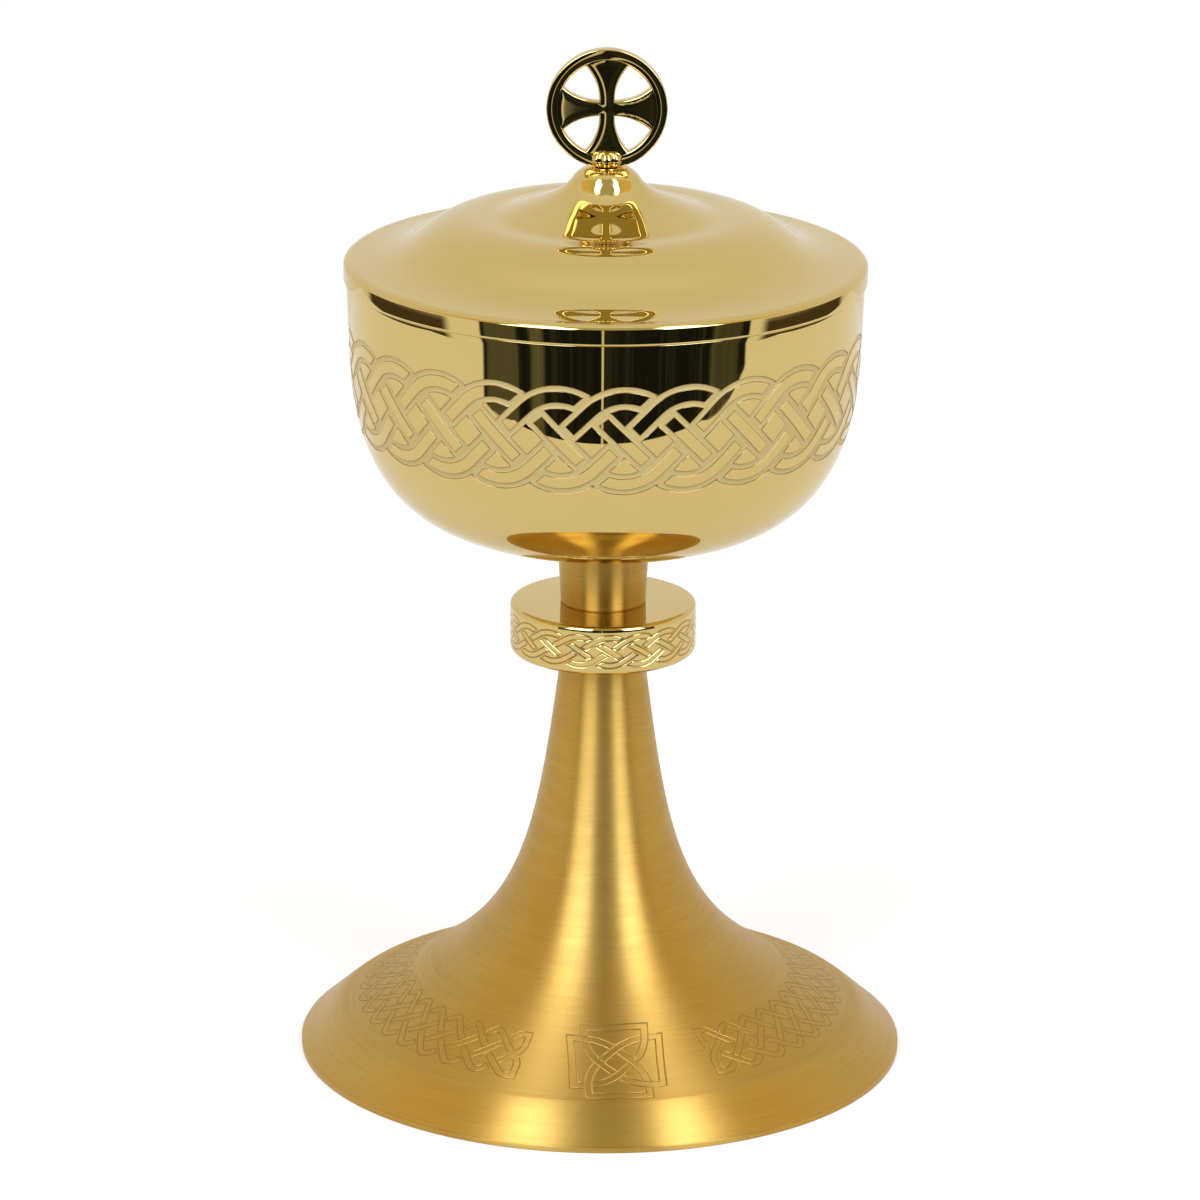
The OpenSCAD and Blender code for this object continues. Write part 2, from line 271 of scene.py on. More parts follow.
def plait_run(pitch, count, half, slope, strand_w, gap, pieces):
    """Grooves of a plait of some pitches, whose strands turn back in square corners at both ends."""
    falling = falling_strand(pitch, half, slope, pieces)
    strand = falling + [Vector((4 * pitch - p.x, p.y)) for p in reversed(falling[:-1])]
    length = count * pitch
    grooves = []
    for k in range(-4, count + 1):
        kept = [p for p in strand if -WELD <= p.x + k * pitch <= length + WELD]
        if len(kept) > 1:
            lines = strand_outlines(kept, strand_w, plait_overs(pitch, falling), gap)
            grooves += moved(lines, k * pitch, 0)
    overhang = 0.38 * pitch
    soft_h = 1.6
    soft_share = 0.35
    corner_x = length + overhang - strand_w / 2
    corner = Vector((corner_x, (corner_x - length) * math.tan(slope)))
    crossing = Vector((length, 0))
    turn_back = [Vector((length, half)), Vector((corner_x, half))]
    turn_back += bend(corner + Vector((0, soft_h)), corner, crossing.lerp(corner, soft_share), 6)
    turn_back.append(crossing)
    rise = math.tan(slope) * pitch / 2
    across = [Vector((length - pitch / 2, rise)), Vector((length + pitch / 2, -rise))]
    ends = strand_outlines(turn_back, strand_w, [across], gap)
    ends += strand_outlines([Vector((p.x, -p.y)) for p in turn_back], strand_w, [], gap)
    grooves += ends
    grooves += [[Vector((length - p.x, -p.y)) for p in line] for line in ends]
    return grooves, length


def quarter_turns(path, count):
    """A path turned clockwise about the middle by a number of quarter turns."""
    for _ in range(count):
        path = [Vector((p.y, -p.x)) for p in path]
    return path


def knot_cross(half_length, half_width, offset, strand_w):
    """Grooves of a square-ended cross that is one endless strand, woven over and under itself."""
    end = half_length - strand_w / 2
    side = half_width - strand_w / 2
    turn = Vector((-side, side - 2 * offset))
    soft_h = 5.5
    diagonal = Vector((1, -1)).normalized()
    path = [Vector((0, end)), Vector((-side, end))]
    path += bend(turn + Vector((0, soft_h)), turn, turn + diagonal * soft_h, 10)
    path += [Vector((p.y, p.x)) for p in reversed(path)]
    middle = len(path) // 2
    overs = [quarter_turns(path[middle:], 2), quarter_turns(path[: middle + 3], 3)]
    left, right = strand_sides(path, strand_w, overs, 0.0)
    return [quarter_turns(line, k) for k in range(4) for line in left + right]


def line_marks(grooves, spacing):
    """A search tree of closely spaced marks along the middle of every groove."""
    marks = []
    for line in grooves:
        for a, b in zip(line, line[1:]):
            count = max(1, math.ceil((b - a).length / spacing))
            marks += [a.lerp(b, i / count) for i in range(count)]
        marks.append(line[-1])
    tree = KDTree(len(marks))
    for i, mark in enumerate(marks):
        tree.insert((mark.x, mark.y, 0), i)
    tree.balance()
    return tree


def near_band(line, width, low, high, margin):
    """True where some of a line lies on the flat band or close to it."""
    for p in line:
        if -margin < p.x < width + margin and low - margin < p.y < high + margin:
            return True
    return False


def groove_depth(share, floor):
    """Depth of a groove from 0 to 1 at a share of its half width: a nearly flat floor between walls."""
    floor_rise = 0.15
    if share < floor:
        return 1 - floor_rise * (share / floor) ** 2
    return (1 - floor_rise) * max(0.0, 1 - share) / (1 - floor)


def cut_flat(width, low, high, columns, grooves, groove_w, floor, land):
    """A flat band cut into triangles along both edges, the flanks and the middle of every groove.

    Gives the corner points, the triangles, each with its distance from a groove's middle, and the
    same distance for each corner point.
    """
    grooves = [line for line in grooves if near_band(line, width, low, high, groove_w)]
    tree = line_marks(grooves, spacing=0.08)
    points = []
    edges = []

    def add_line(line):
        first = len(points)
        points.extend(line)
        edges.extend((i, i + 1) for i in range(first, len(points) - 1))

    def distance(x, y):
        return tree.find((x, y, 0))[2]

    rows = max(2, round((high - low) / land))
    heights = [low + (high - low) * i / rows for i in range(rows + 1)]
    for y in (low, high):
        add_line([Vector((width * i / columns, y)) for i in range(columns + 1)])
    clear = groove_w / 2 + land * 0.35
    for x in (0.0, width):
        inner = [y for y in heights[1:-1] if distance(0.0, y) > clear and distance(width, y) > clear]
        add_line([Vector((x, y)) for y in [low] + inner + [high]])
    for line in grooves:
        for share in (-1, -floor, 0, floor, 1):
            add_line(beside(line, groove_w / 2 * share))
    across = max(1, round(width / land))
    for row, y in enumerate(heights[1:-1]):
        for i in range(across):
            x = width * (i + (0.25 if row % 2 else 0.75)) / across
            if distance(x, y) > clear:
                points.append(Vector((x, y)))

    closest = 0.0002
    corners, _, triangles, *_ = delaunay_2d_cdt(points, edges, [], 0, closest)
    kept = []
    for triangle in triangles:
        middle = sum((corners[i] for i in triangle), Vector((0, 0))) / len(triangle)
        if 0 < middle.x < width and low < middle.y < high:
            kept.append((triangle, distance(middle.x, middle.y)))
    distances = [distance(p.x, p.y) for p in corners]
    return corners, kept, distances


def lay_band(bm, profile, radius, flat_band, width, copies, groove_w, floor, groove_d, dullness_and_shade=1.0):
    """Lays a flat cut band on a turned surface, side by side all round, with its grooves sunk in.

    In polished gilt, grooves at dullness_and_shade 1 have pale matt floors and walls painted brown as
    shade. Small values paint brown shade across the whole groove, which stays more metal; near 0 they stay
    bright.
    """
    corners, triangles, distances = flat_band
    marks = stations(profile)
    normals = [p - q for p, q in zip(beside(profile, -1.0), profile)]
    cut_mark = bm.faces.layers.int.get("cut") or bm.faces.layers.int.new("cut")
    depth_mark = bm.verts.layers.float.get("groove") or bm.verts.layers.float.new("groove")
    used = sorted({i for triangle, _ in triangles for i in triangle})
    spots = {}
    k = 0
    for i in sorted(used, key=lambda j: corners[j].y):
        while k < len(marks) - 2 and marks[k + 1] < corners[i].y:
            k += 1
        t = (corners[i].y - marks[k]) / (marks[k + 1] - marks[k])
        depth = groove_depth(2 * distances[i] / groove_w, floor)
        spot = profile[k].lerp(profile[k + 1], t)
        spots[i] = (spot - normals[k].lerp(normals[k + 1], t) * groove_d * depth, depth)
    for copy in range(copies):
        verts = {}
        for i in used:
            spot, depth = spots[i]
            angle = (corners[i].x + width * copy) / radius
            verts[i] = bm.verts.new((spot.x * math.sin(angle), -spot.x * math.cos(angle), spot.y))
            verts[i][depth_mark] = depth * dullness_and_shade
        for triangle, gap in triangles:
            face = bm.faces.new([verts[i] for i in triangle])
            face[cut_mark] = 2 if gap < groove_w / 2 else 1
    bmesh.ops.remove_doubles(bm, verts=bm.verts, dist=WELD)


def finish_piece(name, bm, material, body, nodes, profile=None, turn=0.0, sharp=40.0):
    """Makes a bmesh in millimetres a smooth piece in metres that stands for its CAD nodes."""
    bmesh.ops.remove_doubles(bm, verts=bm.verts, dist=WELD)
    bmesh.ops.recalc_face_normals(bm, faces=bm.faces)
    bmesh.ops.rotate(bm, verts=bm.verts, cent=(0, 0, 0), matrix=Matrix.Rotation(turn, 3, "Z"))
    cut_mark = bm.faces.layers.int.get("cut")
    limit = math.radians(sharp)
    for face in bm.faces:
        face.smooth = True
    for edge in bm.edges:
        if len(edge.link_faces) == 2:
            a, b = edge.link_faces
            groove_edge = cut_mark and {a[cut_mark], b[cut_mark]} == {1, 2}
            edge.smooth = not groove_edge and edge.calc_face_angle(0.0) < limit
    bmesh.ops.scale(bm, vec=(MM, MM, MM), verts=bm.verts)
    mesh = bpy.data.meshes.new(name)
    bm.to_mesh(mesh)
    bm.free()
    if profile:
        set_land_normals(mesh, profile)
    mesh.materials.append(material)
    piece = bpy.data.objects.new(name, mesh)
    bpy.context.scene.collection.objects.link(piece)
    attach(piece, body)
    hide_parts(*nodes)


def set_land_normals(mesh, profile):
    """Gives the uncut metal round the grooves the normals of the smooth turned surface."""
    marks = [p.y * MM for p in profile]
    normals = [(p - q).normalized() for p, q in zip(beside(profile, -1.0), profile)]
    cuts = [0] * len(mesh.polygons)
    mesh.attributes["cut"].data.foreach_get("value", cuts)
    on_band = set()
    for polygon in mesh.polygons:
        if cuts[polygon.index]:
            on_band.update(polygon.vertices)
    true_normals = {}
    order = sorted(on_band, key=lambda i: mesh.vertices[i].co.z)
    k = 0
    for i in order:
        co = mesh.vertices[i].co
        while k < len(marks) - 2 and marks[k + 1] < co.z:
            k += 1
        t = max(0.0, min(1.0, (co.z - marks[k]) / max(marks[k + 1] - marks[k], 1e-9)))
        side = normals[k].lerp(normals[k + 1], t)
        out = Vector((co.x, co.y, 0)).normalized() * side.x
        true_normals[i] = (out.x, out.y, side.y)
    flat_loops = [(0.0, 0.0, 0.0)] * len(mesh.loops)
    for polygon in mesh.polygons:
        if cuts[polygon.index] != 2:
            for loop in polygon.loop_indices:
                flat_loops[loop] = true_normals.get(mesh.loops[loop].vertex_index, (0.0, 0.0, 0.0))
    mesh.normals_split_custom_set(flat_loops)


def link(tree, output, node, socket):
    """Joins an output to a node's input, or sets the input where a plain value is given."""
    if isinstance(output, bpy.types.NodeSocket):
        tree.links.new(output, node.inputs[socket])
    else:
        node.inputs[socket].default_value = output


def calc(tree, operation, a, b=0.0, clamp=False):
    """One step of arithmetic in a node tree."""
    node = tree.nodes.new("ShaderNodeMath")
    node.operation = operation
    node.use_clamp = clamp
    link(tree, a, node, 0)
    link(tree, b, node, 1)
    return node.outputs[0]


def soft_step(tree, value, low, high, start=0.0, end=1.0):
    """A soft step from start to end as the value goes from low to high."""
    node = tree.nodes.new("ShaderNodeMapRange")
    node.interpolation_type = "SMOOTHSTEP"
    sockets = ("Value", "From Min", "From Max", "To Min", "To Max")
    for socket, given in zip(sockets, (value, low, high, start, end)):
        link(tree, given, node, socket)
    return node.outputs["Result"]


def blend_colour(tree, share, a, b):
    """A mix of two colours."""
    node = tree.nodes.new("ShaderNodeMix")
    node.data_type = "RGBA"
    link(tree, share, node, 0)
    link(tree, a, node, 6)
    link(tree, b, node, 7)
    return node.outputs[2]


def cloud(tree, vector, scale, detail, roughness=0.5):
    """Soft noise over a vector, from 0 to 1."""
    node = tree.nodes.new("ShaderNodeTexNoise")
    node.inputs["Scale"].default_value = scale
    node.inputs["Detail"].default_value = detail
    node.inputs["Roughness"].default_value = roughness
    tree.links.new(vector, node.inputs["Vector"])
    return node.outputs["Fac"]


def new_group(name, inputs, outputs):
    """An empty node group with named sockets, and its input and output nodes."""
    tree = bpy.data.node_groups.new(name, "ShaderNodeTree")
    for socket, kind, value in inputs:
        made = tree.interface.new_socket(socket, in_out="INPUT", socket_type=kind)
        if value is not None:
            made.default_value = value
    for socket, kind in outputs:
        tree.interface.new_socket(socket, in_out="OUTPUT", socket_type=kind)
    return tree, tree.nodes.new("NodeGroupInput"), tree.nodes.new("NodeGroupOutput")


def make_gilt_tone():
    """Gilding that drifts a little in warmth from place to place, with another tone in cut grooves: pale
    and matt in polished gilt, darker as painted shade in satin gilt.
    """
    tree, given, made = new_group(
        "gilt tone",
        [("Vector", "NodeSocketVector", None), ("Groove", "NodeSocketFloat", 0.0),
         ("Light Gilt", "NodeSocketColor", WHITE), ("Warm Gilt", "NodeSocketColor", WHITE),
         ("Groove Gilt", "NodeSocketColor", WHITE)],
        [("Color", "NodeSocketColor")],
    )
    drift = soft_step(tree, cloud(tree, given.outputs["Vector"], 22.0, 3.0), 0.3, 0.7)
    tone = blend_colour(tree, drift, given.outputs["Light Gilt"], given.outputs["Warm Gilt"])
    tone = blend_colour(tree, given.outputs["Groove"], tone, given.outputs["Groove Gilt"])
    tree.links.new(tone, made.inputs["Color"])
    return tree


def make_polish_marks():
    """Faint wiping haze and a slow waviness, as hand-polished metal has."""
    tree, given, made = new_group(
        "polish marks",
        [("Vector", "NodeSocketVector", None), ("Smooth", "NodeSocketFloat", 0.03),
         ("Hazy", "NodeSocketFloat", 0.07)],
        [("Roughness", "NodeSocketFloat"), ("Height", "NodeSocketFloat")],
    )
    vector = given.outputs["Vector"]
    haze = soft_step(tree, cloud(tree, vector, 60.0, 5.0, 0.6), 0.35, 0.75)
    wipes = tree.nodes.new("ShaderNodeMapping")
    wipes.inputs["Scale"].default_value = (1.0, 1.0, 0.12)
    tree.links.new(vector, wipes.inputs["Vector"])
    hairs = cloud(tree, wipes.outputs["Vector"], 2600.0, 2.0)
    wear = calc(tree, "ADD", 0.6, calc(tree, "MULTIPLY", hairs, 0.8))
    mixed = calc(tree, "MULTIPLY", haze, wear, clamp=True)
    spread = calc(tree, "SUBTRACT", given.outputs["Hazy"], given.outputs["Smooth"])
    rough = calc(tree, "ADD", given.outputs["Smooth"], calc(tree, "MULTIPLY", mixed, spread))
    tree.links.new(rough, made.inputs["Roughness"])
    tree.links.new(cloud(tree, vector, 38.0, 1.0), made.inputs["Height"])
    return tree


def make_turned_lines():
    """Fine lines round the axis, as a brush leaves on a piece that turns in the lathe."""
    tree, given, made = new_group(
        "turned lines",
        [("Vector", "NodeSocketVector", None), ("Lines per Metre", "NodeSocketFloat", 3000.0)],
        [("Lines", "NodeSocketFloat"), ("Bands", "NodeSocketFloat")],
    )
    split = tree.nodes.new("ShaderNodeSeparateXYZ")
    tree.links.new(given.outputs["Vector"], split.inputs[0])
    x, y, z = split.outputs
    squares = calc(tree, "ADD", calc(tree, "MULTIPLY", x, x), calc(tree, "MULTIPLY", y, y))
    radius = calc(tree, "SQRT", squares)
    wander = 0.0009
    place = tree.nodes.new("ShaderNodeCombineXYZ")
    link(tree, radius, place, 0)
    link(tree, z, place, 1)
    link(tree, calc(tree, "MULTIPLY", calc(tree, "DIVIDE", x, radius), wander), place, 2)
    fine = tree.nodes.new("ShaderNodeTexNoise")
    fine.noise_dimensions = "4D"
    fine.inputs["Detail"].default_value = 4.0
    fine.inputs["Roughness"].default_value = 0.65
    tree.links.new(place.outputs[0], fine.inputs["Vector"])
    tree.links.new(calc(tree, "MULTIPLY", calc(tree, "DIVIDE", y, radius), wander), fine.inputs["W"])
    tree.links.new(given.outputs["Lines per Metre"], fine.inputs["Scale"])
    tree.links.new(fine.outputs["Fac"], made.inputs["Lines"])
    tree.links.new(cloud(tree, place.outputs[0], 420.0, 3.0), made.inputs["Bands"])
    return tree


GILT_TONE = make_gilt_tone()
POLISH_MARKS = make_polish_marks()
TURNED_LINES = make_turned_lines()


def new_metal(name):
    """A metal material with its tree, its shader and the object coordinates."""
    material = bpy.data.materials.new(name)
    material.use_nodes = True
    tree = material.node_tree
    shader = tree.nodes["Principled BSDF"]
    shader.inputs["Metallic"].default_value = 1.0
    coords = tree.nodes.new("ShaderNodeTexCoord").outputs["Object"]
    return material, tree, shader, coords


def place_group(tree, group, coords, **values):
    """A node group placed in a material with its own values, named with underscores for spaces."""
    node = tree.nodes.new("ShaderNodeGroup")
    node.node_tree = group
    tree.links.new(coords, node.inputs["Vector"])
    for name, value in values.items():
        link(tree, value, node, name.replace("_", " "))
    return node


def raise_surface(tree, shader, height, distance):
    """A fine relief on the shader's normal."""
    bump = tree.nodes.new("ShaderNodeBump")
    bump.inputs["Distance"].default_value = distance
    tree.links.new(height, bump.inputs["Height"])
    tree.links.new(bump.outputs["Normal"], shader.inputs["Normal"])


def groove_share(tree):
    """Depth in a cut groove, from 0 on the land to the groove's dullness_and_shade at its bottom: the mask
    for the groove tone, the painted groove shade and the dullness.
    """
    node = tree.nodes.new("ShaderNodeAttribute")
    node.attribute_name = "groove"
    return node.outputs["Fac"]


def make_polished_gilt():
    """Mirror-polished pale gilding. Dull grooves have pale matt floors, and their walls are painted brown
    as shade.
    """
    material, tree, shader, coords = new_metal("polished_gilt")
    depth = groove_share(tree)
    floor = soft_step(tree, depth, 0.35, 0.8)
    # Painted shade: the groove walls, masked here, are coloured brown to stand for the shade in them.
    wall = calc(tree, "SUBTRACT", soft_step(tree, depth, 0.0, 0.15), floor, clamp=True)
    painted_wall_shade = (0.26, 0.125, 0.012, 1)
    dull = soft_step(tree, depth, 0.0, 0.3)
    tone = place_group(
        tree, GILT_TONE, coords, Groove=floor, Light_Gilt=(0.70, 0.53, 0.20, 1),
        Warm_Gilt=(0.69, 0.515, 0.185, 1), Groove_Gilt=(0.62, 0.455, 0.15, 1),
    )
    tone = blend_colour(tree, wall, tone.outputs["Color"], painted_wall_shade)
    marks = place_group(tree, POLISH_MARKS, coords, Smooth=0.012, Hazy=0.04)
    tree.links.new(tone, shader.inputs["Base Color"])
    rough = calc(tree, "ADD", marks.outputs["Roughness"], calc(tree, "MULTIPLY", dull, 0.4))
    tree.links.new(rough, shader.inputs["Roughness"])
    metallic = soft_step(tree, depth, 0.0, 0.3, start=1.0, end=0.05)
    tree.links.new(metallic, shader.inputs["Metallic"])
    raise_surface(tree, shader, marks.outputs["Height"], distance=0.000025)
    return material


def make_satin_gilt():
    """Deeper gilding brushed round the axis, with painted shade darkening its engraved grooves, and
    smoother on the lip of the foot.
    """
    material, tree, shader, coords = new_metal("satin_gilt")
    shader.inputs["Anisotropic"].default_value = 0.9
    shader.inputs["Anisotropic Rotation"].default_value = 0.25
    lines = place_group(tree, TURNED_LINES, coords, Lines_per_Metre=3200.0)
    # Painted shade: Groove Gilt here is darker than the land, so the engraved lines read as shaded.
    tone = place_group(
        tree, GILT_TONE, coords, Groove=groove_share(tree), Light_Gilt=(0.60, 0.37, 0.082, 1),
        Warm_Gilt=(0.57, 0.34, 0.068, 1), Groove_Gilt=(0.38, 0.22, 0.045, 1),
    )
    hairs = soft_step(tree, lines.outputs["Lines"], 0.35, 0.75, start=0.0, end=0.4)
    hair_tone = (0.40, 0.24, 0.055, 1)
    tone = blend_colour(tree, hairs, tone.outputs["Color"], hair_tone)
    tree.links.new(tone, shader.inputs["Base Color"])
    rough = soft_step(tree, lines.outputs["Bands"], 0.25, 0.75, start=0.40, end=0.46)
    split = tree.nodes.new("ShaderNodeSeparateXYZ")
    tree.links.new(coords, split.inputs[0])
    height = split.outputs["Z"]
    lip_top_low, lip_top_high = 0.0082, 0.0102
    lip_gloss = soft_step(tree, height, lip_top_low, lip_top_high, start=0.08, end=0.0)
    tree.links.new(calc(tree, "SUBTRACT", rough, lip_gloss), shader.inputs["Roughness"])
    tangent = tree.nodes.new("ShaderNodeTangent")
    tangent.direction_type = "RADIAL"
    tangent.axis = "Z"
    tree.links.new(tangent.outputs[0], shader.inputs["Tangent"])
    raise_surface(tree, shader, lines.outputs["Lines"], distance=0.000006)
    return material


def make_plain_brass():
    """Turned brass of the hidden fastenings, left unpolished."""
    material, tree, shader, coords = new_metal("plain_brass")
    lines = place_group(tree, TURNED_LINES, coords, Lines_per_Metre=2200.0)
    tone = place_group(
        tree, GILT_TONE, coords, Light_Gilt=(0.60, 0.42, 0.15, 1), Warm_Gilt=(0.47, 0.31, 0.10, 1),
    )
    tree.links.new(tone.outputs["Color"], shader.inputs["Base Color"])
    rough = soft_step(tree, lines.outputs["Bands"], 0.2, 0.8, start=0.28, end=0.46)
    tree.links.new(rough, shader.inputs["Roughness"])
    raise_surface(tree, shader, lines.outputs["Lines"], distance=0.00001)
    return material


POLISHED = make_polished_gilt()
SATIN = make_satin_gilt()
BRASS = make_plain_brass()


def foot_profile():
    """Outside of the foot, as its lip up to the crease and its flare up to the neck."""
    edge = Vector((FOOT_R, RIM_RING_H))
    lip = curve(edge, edge + Vector((-2.5, 2.0)), CREASE + Vector((2.6, -1.7)), CREASE, 16)
    leave = 43.6 * Vector((-1, 0.44))
    arrive = Vector((-7.04, 55))
    flare = curve(CREASE, CREASE + leave, NECK_TOP - arrive, NECK_TOP, 240)
    return lip, flare


def foot_grooves(radius, flare):
    """The foot's engraving on a flat band round the turn: a cross in front, a plait round the rest."""
    turn = FULL_TURN * radius
    marks = stations(flare)

    def radius_at(height):
        i = min(range(len(marks)), key=lambda k: abs(marks[k] - height))
        return flare[i].x

    pitch = math.radians(7.823) * radius
    plait, length = plait_run(
        pitch, count=39, half=6.45, slope=math.radians(45), strand_w=1.55, gap=0.6, pieces=6,
    )
    plait = [[Vector((length - p.x, p.y)) for p in line] for line in plait]
    plait_middle = 12.1
    plait = moved(plait, (turn - length) / 2, plait_middle)
    cross_middle = 11.8
    cross = []
    for line in knot_cross(half_length=11.3, half_width=8.0, offset=2.05, strand_w=1.65):
        places = [(p.x * radius / radius_at(cross_middle + p.y), cross_middle + p.y) for p in line]
        for start in (0.0, turn):
            cross.append([Vector((start + x, y)) for x, y in places])
    return plait + cross, turn


def make_foot():
    """Trumpet foot with its sheet thickness, plait band and cross."""
    lip, flare = foot_profile()
    radius = 52.0
    steps = 240
    groove_w = 0.42
    floor = 0.35
    grooves, turn = foot_grooves(radius, flare)
    band = cut_flat(turn, 0.0, FOOT_BAND_TOP, steps, grooves, groove_w, floor, land=1.7)
    _, neck = cut_at(flare, FOOT_BAND_TOP)
    inside = thinned(beside(lip + flare[1:], FOOT_WALL), 4)
    inside = [p for p in inside if p.y > RIM_RING_H and p.x < FOOT_R - RIM_RING_W]
    inside[-1].y = NECK_TOP.y
    lip_w = 1.92
    section = thinned(neck, 3) + inside[::-1] + [Vector((FOOT_R - lip_w, RIM_RING_H))] + lip
    bm = turned([section], steps)
    lay_band(bm, flare, radius, band, turn, 1, groove_w, floor, groove_d=0.075)
    finish_piece("foot_shell_spun", bm, SATIN, "stand", ["foot_shell"], flare, FRONT_TURN)


def make_rim_ring():
    """Flat ring that the lip ends in, with softened edges."""
    inner = FOOT_R - RIM_RING_W
    start = Vector((inner, 0.8))
    soft_edge = 0.22
    section = rounded(
        [start, Vector((inner, 0)), Vector((FOOT_R, 0)), Vector((FOOT_R, RIM_RING_H)),
         Vector((inner, RIM_RING_H)), start], [soft_edge] * 4,
    )
    bm = turned([section], steps=240)
    finish_piece("foot_rim_ring_flat", bm, SATIN, "stand", ["foot_rim_ring"])


def make_knop():
    """Disc with rounded edges and a plait band on its side."""
    repeats = 19
    columns = 12
    pitch = FULL_TURN * KNOP_R / repeats
    low_z = NECK_TOP.y
    low_edge = 1.55
    hole_edge = 0.4
    margin = 0.1
    side = [Vector((KNOP_R, low_z + low_edge + margin)), Vector((KNOP_R, KNOP_TOP - KNOP_EDGE - margin))]
    height = side[1].y - side[0].y
    plait = plait_tile(pitch, half=3.4, slope=math.radians(32), strand_w=1.3, gap=0.5, pieces=6)
    plait_z = 105.5
    grooves = moved(plait, 0, plait_z - side[0].y)
    groove_w = 0.46
    floor = 0.35
    band = cut_flat(pitch, 0.0, height, columns, grooves, groove_w, floor, land=1.0)
    section = rounded(
        [side[1], Vector((KNOP_R, KNOP_TOP)), Vector((ROD_HOLE_R, KNOP_TOP)),
         Vector((ROD_HOLE_R, low_z)), Vector((KNOP_R, low_z)), side[0]],
        [KNOP_EDGE, hole_edge, hole_edge, low_edge], 8,
    )
    bm = turned([section], repeats * columns)
    # Painted shade: at this small value the knop's grooves are coloured brown across their width, while
    # they stay more metal than the bowl's.
    lay_band(bm, side, KNOP_R, band, pitch, repeats, groove_w, floor, groove_d=0.15, dullness_and_shade=0.11)
    finish_piece("knop_disc", bm, POLISHED, "stand", ["knop"], side, FRONT_TURN)


def make_collar():
    """Turned sleeve, a little wider at its top, with a bore for the bowl's boss."""
    top_z = BOWL_BOTTOM
    boss_bore_r = 6.45
    boss_bore_h = 8
    soft_edge = 0.15
    section = [
        Vector((ROD_HOLE_R, KNOP_TOP)), Vector((COLLAR_LOW_R - 0.25, KNOP_TOP)),
        Vector((COLLAR_LOW_R - 0.2, KNOP_TOP + 0.15)), Vector((COLLAR_LOW_R, KNOP_TOP + 0.3)),
        Vector((COLLAR_TOP_R, top_z - soft_edge)), Vector((COLLAR_TOP_R - soft_edge, top_z)),
        Vector((boss_bore_r, top_z)), Vector((boss_bore_r, top_z - boss_bore_h)),
        Vector((ROD_HOLE_R, top_z - boss_bore_h)), Vector((ROD_HOLE_R, KNOP_TOP)),
    ]
    bm = turned([section], steps=128)
    finish_piece("stem_collar_sleeve", bm, SATIN, "stand", ["stem_collar"])


def bowl_profile():
    """Outside of the bowl from the edge of its flat bottom up to the rim."""
    wall_h = 19.2
    wall_lean = 0.8
    pull_h = 31.4
    flat_edge = Vector((BOWL_FLAT_R, BOWL_BOTTOM))
    wall_foot = Vector((RIM.x - wall_lean, RIM.y - wall_h))
    pull = Vector((RIM.x - wall_lean * (1 + pull_h / wall_h), RIM.y - wall_h - pull_h))
    bottom = curve(flat_edge, flat_edge + Vector((20.6, 0)), pull, wall_foot, 160)
    wall = [wall_foot.lerp(RIM, i / 40) for i in range(1, 41)]
    return bottom + wall


def make_bowl():
    """Round bowl with a plait band cut into its side."""
    repeats = 25
    columns = 10
    profile = bowl_profile()
    radius = 59.8
    pitch = FULL_TURN * radius / repeats
    groove_w = 1.45
    floor = 0.68
    low, plait_middle, high = 45.6, 60.45, 75.2
    plait = plait_tile(pitch, half=10.5, slope=math.radians(45), strand_w=4.0, gap=0.95, pieces=8)
    grooves = moved(plait, 0, plait_middle)
    band = cut_flat(pitch, low, high, columns, grooves, groove_w, floor, land=1.5)
    below, _ = cut_at(profile, low)
    _, above = cut_at(profile, high)
    inside = thinned(beside(profile, BOWL_WALL), 4)
    inside[0].x = BOWL_FLAT_R
    rim = [Vector((RIM.x, RIM.y - 1)), RIM, Vector((RIM.x - BOWL_WALL, RIM.y)), inside[-2]]
    rim[0].x -= 0.04
    rim_edge = 0.3
    upper = above[:-3] + rounded(rim, [rim_edge] * 2, 5)[1:] + inside[:-2][::-1]
    upper.append(Vector((0, BOWL_BOTTOM + BOWL_WALL)))
    lower = [Vector((0, BOWL_BOTTOM))] + thinned(below, 3)
    bm = turned([upper, lower], repeats * columns)
    lay_band(bm, profile, radius, band, pitch, repeats, groove_w, floor, groove_d=0.2)
    finish_piece("bowl_raised", bm, POLISHED, "stand", ["bowl"], profile, FRONT_TURN)


def slope_up(angle):
    """Direction towards the axis that rises at an angle in degrees."""
    return Vector((-math.cos(math.radians(angle)), math.sin(math.radians(angle))))


